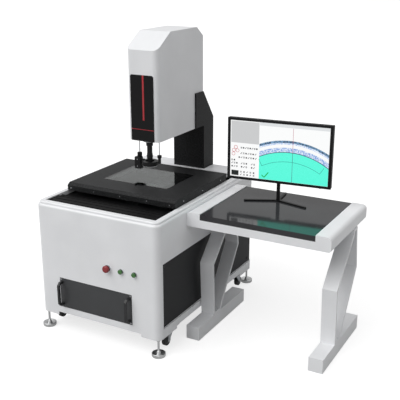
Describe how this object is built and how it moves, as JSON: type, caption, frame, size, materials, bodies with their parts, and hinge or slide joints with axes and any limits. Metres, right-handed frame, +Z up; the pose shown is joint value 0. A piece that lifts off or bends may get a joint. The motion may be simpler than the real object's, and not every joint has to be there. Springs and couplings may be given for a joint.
{
  "type": "optical measuring machine",
  "caption": "Floor-standing optical measuring machine: cabinet with a glass x-y stage, a lens head on a column, and a side desk with a monitor.",
  "frame": {"origin": "centre of the bounding box at the floor, under the feet", "axes": "+X to the operator's right, from the cabinet towards the desk; +Y to the back; +Z up"},
  "size_m": [1.631, 1.2089, 1.656],
  "materials": {
    "cabinet_shell": "satin white paint",
    "side_panels": "matte dark grey paint",
    "rear_panel": "matte dark grey paint",
    "power_inlet": "moulded",
    "base_frame": "black paint",
    "isolation_mounts": "matte",
    "granite_base": "ground",
    "column": "matte black paint",
    "head_cover_front": "satin white paint",
    "head_cover_rear": "satin white paint",
    "head_trim_panel": "satin",
    "head_stripe": "gloss",
    "guide_rails": "ground",
    "axis_motors": "satin",
    "y_ballscrew": "ground",
    "z_ballscrew": "ground",
    "x_ballscrew": "ground",
    "x_motor": "satin",
    "front_way_cover": "matte black",
    "y_saddle": "black anodised",
    "stage_plate": "grey anodised",
    "stage_glass": "polished",
    "x_rails": "ground",
    "backlight_housing": "black anodised",
    "backlight_diffuser": "opal",
    "z_carriage": "black anodised",
    "camera_body": "black anodised",
    "lens_barrel": "black anodised",
    "lens_flange": "turned",
    "objective_lens": "black anodised",
    "zoom_ring": "knurled black",
    "light_rods": "polished",
    "ring_light_slider": "black anodised",
    "ring_light_knobs": "moulded",
    "ring_light_housing": "black anodised",
    "ring_light_diffuser": "opal",
    "button_sleeves": "moulded",
    "estop_button": "gloss red",
    "start_button": "gloss green",
    "lamp_button": "gloss green",
    "rack_pc_case": "zinc plated",
    "rack_pc_panel": "matte grey",
    "rack_pc_handles": "black anodised",
    "levelling_feet": "polished",
    "desk_frame": "satin white paint",
    "desk_top": "gloss black",
    "desk_leg_left": "satin white paint",
    "desk_leg_right": "satin white paint",
    "monitor_housing": "matte black",
    "monitor_screen": "lit screen",
    "monitor_stand_post": "black paint",
    "monitor_stand_base": "black paint",
    "caster_fork_front_left": "black paint",
    "caster_wheel_front_left": "matte",
    "caster_fork_front_right": "black paint",
    "caster_wheel_front_right": "matte",
    "caster_fork_back_left": "black paint",
    "caster_wheel_back_left": "matte",
    "caster_fork_back_right": "black paint",
    "caster_wheel_back_right": "matte"
  },
  "bodies": {
    "machine": {"cabinet_shell": "cabinet_shell", "side_panels": "side_panels", "rear_panel": "rear_panel", "power_inlet": "power_inlet", "base_frame": "base_frame", "isolation_mounts": "isolation_mounts", "granite_base": "granite_base", "column": "column", "head_cover_front": "head_cover_front", "head_cover_rear": "head_cover_rear", "head_trim_panel": "head_trim_panel", "head_stripe": "head_stripe", "guide_rails": "guide_rails", "axis_motors": "axis_motors", "front_way_cover": "front_way_cover", "backlight_housing": "backlight_housing", "backlight_diffuser": "backlight_diffuser", "button_sleeves": "button_sleeves", "levelling_feet": "levelling_feet", "desk_frame": "desk_frame", "desk_top": "desk_top", "desk_leg_left": "desk_leg_left", "desk_leg_right": "desk_leg_right", "monitor_stand_base": "monitor_stand_base", "monitor_stand_post": "monitor_stand_post"},
    "y_screw": {"y_ballscrew": "y_ballscrew"},
    "z_screw": {"z_ballscrew": "z_ballscrew"},
    "x_screw": {"x_ballscrew": "x_ballscrew"},
    "saddle": {"y_saddle": "y_saddle", "x_motor": "x_motor"},
    "stage": {"stage_plate": "stage_plate", "stage_glass": "stage_glass", "x_rails": "x_rails"},
    "z_axis": {"z_carriage": "z_carriage", "camera_body": "camera_body", "lens_barrel": "lens_barrel", "lens_flange": "lens_flange", "objective_lens": "objective_lens", "light_rods": "light_rods"},
    "ring_light": {"ring_light_slider": "ring_light_slider", "ring_light_knobs": "ring_light_knobs", "ring_light_housing": "ring_light_housing", "ring_light_diffuser": "ring_light_diffuser"},
    "zoom": {"zoom_ring": "zoom_ring"},
    "rack_pc": {"rack_pc_case": "rack_pc_case", "rack_pc_panel": "rack_pc_panel", "rack_pc_handles": "rack_pc_handles"},
    "estop": {"estop_button": "estop_button"},
    "start": {"start_button": "start_button"},
    "lamp": {"lamp_button": "lamp_button"},
    "monitor": {"monitor_housing": "monitor_housing", "monitor_screen": "monitor_screen"},
    "fork_front_left": {"caster_fork_front_left": "caster_fork_front_left"},
    "wheel_front_left": {"caster_wheel_front_left": "caster_wheel_front_left"},
    "fork_front_right": {"caster_fork_front_right": "caster_fork_front_right"},
    "wheel_front_right": {"caster_wheel_front_right": "caster_wheel_front_right"},
    "fork_back_left": {"caster_fork_back_left": "caster_fork_back_left"},
    "wheel_back_left": {"caster_wheel_back_left": "caster_wheel_back_left"},
    "fork_back_right": {"caster_fork_back_right": "caster_fork_back_right"},
    "wheel_back_right": {"caster_wheel_back_right": "caster_wheel_back_right"}
  },
  "joints": [
    {"name": "y_stage_slide", "type": "slide", "parent": "machine", "child": "saddle", "axis": [0, 1, 0], "range_m": [-0.15, 0.15]},
    {"name": "x_stage_slide", "type": "slide", "parent": "saddle", "child": "stage", "axis": [1, 0, 0], "range_m": [-0.2, 0.2]},
    {"name": "z_axis_slide", "type": "slide", "parent": "machine", "child": "z_axis", "axis": [0, 0, 1], "range_m": [-0.02, 0.18]},
    {"name": "y_screw_turn", "type": "hinge", "parent": "machine", "child": "y_screw", "pos_m": [-0.5925, -0.0025, 0.706], "axis": [0, 1, 0], "continuous": true},
    {"name": "x_screw_turn", "type": "hinge", "parent": "saddle", "child": "x_screw", "pos_m": [-0.4005, 0.2525, 0.74], "axis": [1, 0, 0], "continuous": true},
    {"name": "z_screw_turn", "type": "hinge", "parent": "machine", "child": "z_screw", "pos_m": [-0.3985, 0.3305, 1.3], "axis": [0, 0, 1], "continuous": true},
    {"name": "ring_light_slide", "type": "slide", "parent": "z_axis", "child": "ring_light", "axis": [0, 0, 1], "range_m": [0, 0.06]},
    {"name": "zoom_ring_turn", "type": "hinge", "parent": "z_axis", "child": "zoom", "pos_m": [-0.4005, -0.0025, 1.018], "axis": [0, 0, 1], "range_deg": [-60, 60]},
    {"name": "rack_pc_slide", "type": "slide", "parent": "machine", "child": "rack_pc", "axis": [0, -1, 0], "range_m": [0, 0.4]},
    {"name": "estop_press", "type": "slide", "parent": "machine", "child": "estop", "axis": [0, 1, 0], "range_m": [0, 0.005], "stiffness_N_per_m": 1500, "springref_m": -0.002},
    {"name": "start_press", "type": "slide", "parent": "machine", "child": "start", "axis": [0, 1, 0], "range_m": [0, 0.003], "stiffness_N_per_m": 1000, "springref_m": -0.002},
    {"name": "lamp_press", "type": "slide", "parent": "machine", "child": "lamp", "axis": [0, 1, 0], "range_m": [0, 0.003], "stiffness_N_per_m": 1000, "springref_m": -0.002},
    {"name": "monitor_tilt", "type": "hinge", "parent": "machine", "child": "monitor", "pos_m": [0.35233, 0.14939, 1.02], "axis": [0.9951, 0.0985, 0], "range_deg": [-15, 0]},
    {"name": "swivel_front_left", "type": "hinge", "parent": "machine", "child": "fork_front_left", "pos_m": [-0.7625, -0.4025, 0.1], "axis": [0, 0, 1], "continuous": true},
    {"name": "roll_front_left", "type": "hinge", "parent": "fork_front_left", "child": "wheel_front_left", "pos_m": [-0.7625, -0.4345, 0.042], "axis": [1, 0, 0], "continuous": true},
    {"name": "swivel_front_right", "type": "hinge", "parent": "machine", "child": "fork_front_right", "pos_m": [-0.0425, -0.4025, 0.1], "axis": [0, 0, 1], "continuous": true},
    {"name": "roll_front_right", "type": "hinge", "parent": "fork_front_right", "child": "wheel_front_right", "pos_m": [-0.0425, -0.4345, 0.042], "axis": [1, 0, 0], "continuous": true},
    {"name": "swivel_back_left", "type": "hinge", "parent": "machine", "child": "fork_back_left", "pos_m": [-0.7625, 0.4315, 0.1], "axis": [0, 0, 1], "continuous": true},
    {"name": "roll_back_left", "type": "hinge", "parent": "fork_back_left", "child": "wheel_back_left", "pos_m": [-0.7625, 0.4635, 0.042], "axis": [1, 0, 0], "continuous": true},
    {"name": "swivel_back_right", "type": "hinge", "parent": "machine", "child": "fork_back_right", "pos_m": [-0.0425, 0.4315, 0.1], "axis": [0, 0, 1], "continuous": true},
    {"name": "roll_back_right", "type": "hinge", "parent": "fork_back_right", "child": "wheel_back_right", "pos_m": [-0.0425, 0.4635, 0.042], "axis": [1, 0, 0], "continuous": true}
  ],
  "couplings": [
    {"joint": "y_screw_turn", "follows": "y_stage_slide", "rad_per_m": 628.32},
    {"joint": "x_screw_turn", "follows": "x_stage_slide", "rad_per_m": 628.32},
    {"joint": "z_screw_turn", "follows": "z_axis_slide", "rad_per_m": 628.32}
  ]
}
